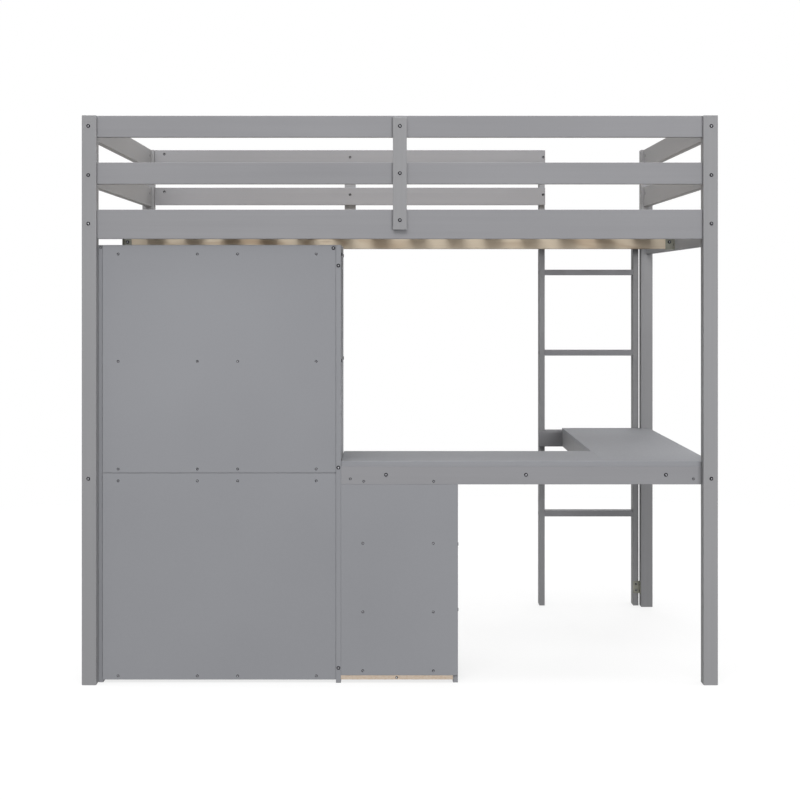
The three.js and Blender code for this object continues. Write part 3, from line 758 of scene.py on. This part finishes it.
HINGE_Z = (110 * MM, 557 * MM)
LEAF_T = 1.4 * MM
LEAF_H = 50 * MM
LEAF_W = 14 * MM            # from the axis
LEAF_START = 0.4 * MM       # from the axis
LEAF_EDGE = 0.35 * MM
KNUCKLES = 5
KNUCKLE_R = 3 * MM
KNUCKLE_PLAY = 0.15 * MM    # at each end of a knuckle
PIN_RISE = 1.2 * MM         # of the pin's heads past the leaves
PIN_R = 2.4 * MM
TUBE_EDGE = 0.3 * MM
TUBE_SIDES = 24
LEAF_SCREWS = ((-0.32, 0.62), (0.0, 0.42), (0.32, 0.62))    # shares of the leaf's height and width


def add_tube(mesh, x, y, z_low, z_high, radius):
    """An upright round bar with eased ends."""
    ease = TUBE_EDGE
    turns = [2 * math.pi * i / TUBE_SIDES for i in range(TUBE_SIDES)]
    profile = [(radius - ease, z_low), (radius, z_low + ease),
               (radius, z_high - ease), (radius - ease, z_high)]
    rings = [[(x + r * math.cos(turn), y + r * math.sin(turn), z) for turn in turns] for r, z in profile]
    add_loft(mesh, rings, Matrix.Identity(4))


def add_leaf(name, axis_x, face_y, way, z, odd, body, pin):
    """A hinge leaf on a face that looks to the front, with its share of the knuckles."""
    mesh = bmesh.new()
    start = axis_x + way * LEAF_START
    reach = axis_x + way * LEAF_W
    axis_y = face_y - KNUCKLE_R
    tall = LEAF_H / KNUCKLES
    for index in range(KNUCKLES):
        if index % 2 == odd:
            foot = z - LEAF_H / 2 + index * tall
            add_tube(mesh, axis_x, axis_y, foot + KNUCKLE_PLAY, foot + tall - KNUCKLE_PLAY, KNUCKLE_R)
    if pin:
        for foot in (z - LEAF_H / 2 - PIN_RISE, z + LEAF_H / 2):
            add_tube(mesh, axis_x, axis_y, foot, foot + PIN_RISE, PIN_R)
    for up, out in LEAF_SCREWS:
        spot = (axis_x + way * LEAF_W * out, face_y - LEAF_T, z + up * LEAF_H)
        add_head(mesh, "screw", spot, FRONT, turn=up * 3)
    # The bevel comes last, and its edges in a fixed order, so that each run makes the same mesh
    block = add_block(mesh, (min(start, reach), face_y - LEAF_T, z - LEAF_H / 2),
                      (max(start, reach), face_y, z + LEAF_H / 2))
    edges = dict.fromkeys(edge for vert in block for edge in vert.link_edges)
    bmesh.ops.bevel(mesh, geom=list(edges), offset=LEAF_EDGE, segments=2, affect="EDGES", profile=0.5)
    # The zinc hinge screws get black recesses: painted shade in their hollows
    leaf = add_piece(name, mesh, [ZINC, BLACK], body)
    leaf.modifiers.new("normals", "WEIGHTED_NORMAL").weight = NORMAL_WEIGHT


for door, way_to_door in (("left", 1), ("right", -1)):
    pin_x = next(j["pos_m"][0] for j in frame["joints"] if j["name"] == f"{door}_door_hinge")
    front_y = low(f"bookcase_side_{door}", 1)
    for level, z in zip(("lower", "upper"), HINGE_Z):
        hinge = f"hinge_{door}_{level}"
        add_leaf(f"{hinge}_fixed_leaf", pin_x, front_y, -way_to_door, z, 0, "root", pin=True)
        add_leaf(f"{hinge}_door_leaf", pin_x, front_y, way_to_door, z, 1, f"{door}_door", pin=False)


# ---------------------------------------------------------------- drawer runners

RUNNER_T = 1.2 * MM
RUNNER_EDGE = 0.3 * MM
RUNNER_INSET = 4 * MM       # from the ends of a drawer box
CHANNEL_DEPTH = 9.5 * MM
CASE_HALF_H = 17.5 * MM
DRAWER_HALF_H = 12 * MM


def add_channel(name, wall_x, way, z, half, run, body):
    """A rolled steel channel along Y, flat on a wall that faces the way it opens."""
    t = RUNNER_T
    outline = [(0, -half), (CHANNEL_DEPTH, -half), (CHANNEL_DEPTH, t - half), (t, t - half),
               (t, half - t), (CHANNEL_DEPTH, half - t), (CHANNEL_DEPTH, half), (0, half)]
    mesh = bmesh.new()
    rings = [[(wall_x + way * x, y, z + up) for x, up in outline] for y in run]
    add_loft(mesh, rings, Matrix.Identity(4))
    bmesh.ops.recalc_face_normals(mesh, faces=mesh.faces)
    channel = add_piece(name, mesh, [ZINC], body)
    soften(channel, RUNNER_EDGE, welded=False)


for level in ("bottom", "middle", "top"):
    box_name = f"drawer_box_{level}"
    run = (low(box_name, 1) + RUNNER_INSET, high(box_name, 1) - RUNNER_INSET)
    z = middle(box_name, 2)
    walls = {"left": (high("pedestal_side", 0), low(box_name, 0), 1),
             "right": (low("bookcase_side_left", 0), high(box_name, 0), -1)}
    for hand, (case_x, box_x, way) in walls.items():
        add_channel(f"runner_{level}_{hand}_case", case_x, way, z, CASE_HALF_H, run, "root")
        add_channel(f"runner_{level}_{hand}_drawer", box_x, -way, z, DRAWER_HALF_H, run, f"{level}_drawer")


# ---------------------------------------------------------------- floor and light

FLOOR_SIZE = 60
FLOOR_WHITE = colour(247, 247, 247)
FADE_FROM, FADE_TO = 1.6, 4.5   # the glow grows between these distances from the middle
GLOW_LEAST = 0.78               # its share under the object


def make_floor():
    """A floor that the camera sees as white and that sends no light up to the object."""
    mesh = bmesh.new()
    bmesh.ops.create_grid(mesh, x_segments=2, y_segments=2, size=FLOOR_SIZE / 2)
    data = bpy.data.meshes.new("floor")
    mesh.to_mesh(data)
    mesh.free()
    floor = bpy.data.objects.new("floor", data)
    floor.visible_diffuse = False
    bpy.context.scene.collection.objects.link(floor)
    s = Shader("pale_floor")
    away = s.add("VectorMath", {"operation": "LENGTH"})
    s.feed(away.inputs[0], s.add("TexCoord").outputs["Object"])
    s.surface(Base_Color=FLOOR_WHITE, Roughness=0.9)
    glow = s.add("Emission", None, Color=(1, 1, 1, 1), Strength=1.0)
    mix = s.add("MixShader", None, Fac=s.between(away.outputs["Value"], FADE_FROM, FADE_TO, GLOW_LEAST))
    s.feed(mix.inputs[1], s.bsdf.outputs["BSDF"])
    s.feed(mix.inputs[2], glow.outputs["Emission"])
    s.feed(s.output.inputs["Surface"], mix.outputs["Shader"])
    data.materials.append(s.material)


def make_world(around, above):
    """White all round for the camera. The object gets light from all sides, and more from higher up."""
    world = bpy.data.worlds.new("studio")
    world.use_nodes = True
    n = Nodes(world.node_tree)
    way = n.add("SeparateXYZ", None, Vector=n.add("TexCoord").outputs["Generated"]).outputs
    level = n.math("ADD", n.math("MULTIPLY", n.math("MAXIMUM", way["Z"], 0.0), above), around)
    seen = n.add("LightPath").outputs["Is Camera Ray"]
    strength = n.between(seen, 0.0, 1.0, level, 1.0)
    background = n.add("Background", None, Color=(1, 1, 1, 1), Strength=strength)
    n.add("OutputWorld", None, Surface=background.outputs["Background"])
    bpy.context.scene.world = world


def add_light(name, place, aim, size, watts, glossy=False):
    """A soft box. Only a glossy one is mirrored in the paint and the metal."""
    data = bpy.data.lights.new(name, "AREA")
    data.shape = "RECTANGLE"
    data.size, data.size_y = size
    data.energy = watts
    light = bpy.data.objects.new(name, data)
    light.location = place
    light.rotation_euler = (Vector(aim) - Vector(place)).to_track_quat("-Z", "Y").to_euler()
    light.visible_camera = False
    light.visible_glossy = glossy
    bpy.context.scene.collection.objects.link(light)


make_floor()
make_world(around=0.085, above=0.85)
add_light("key", place=(1.5, 8.0, 7.5), aim=(0, 0, 1.0), size=(5.0, 4.0), watts=418, glossy=True)
add_light("low_key", place=(-2.6, 9.0, 1.6), aim=(0, 0, 0.8), size=(3.0, 2.0), watts=415)
add_light("overhead", place=(0.8, 0.8, 4.2), aim=(0.8, -0.5, 1.5), size=(8.0, 1.0), watts=100)
add_light("fill", place=(-1.2, -9.0, 3.0), aim=(0, 0, 0.9), size=(6.0, 4.0), watts=600)
add_light("bookcase_end", place=(9.0, -0.5, 3.5), aim=(0, 0, 1.3), size=(3.0, 3.0), watts=140)
add_light("desk_end", place=(-9.0, -0.5, 3.5), aim=(0, 0, 1.3), size=(3.0, 3.0), watts=95)
bpy.context.scene.view_settings.view_transform = "Standard"
bpy.context.scene.view_settings.look = "None"
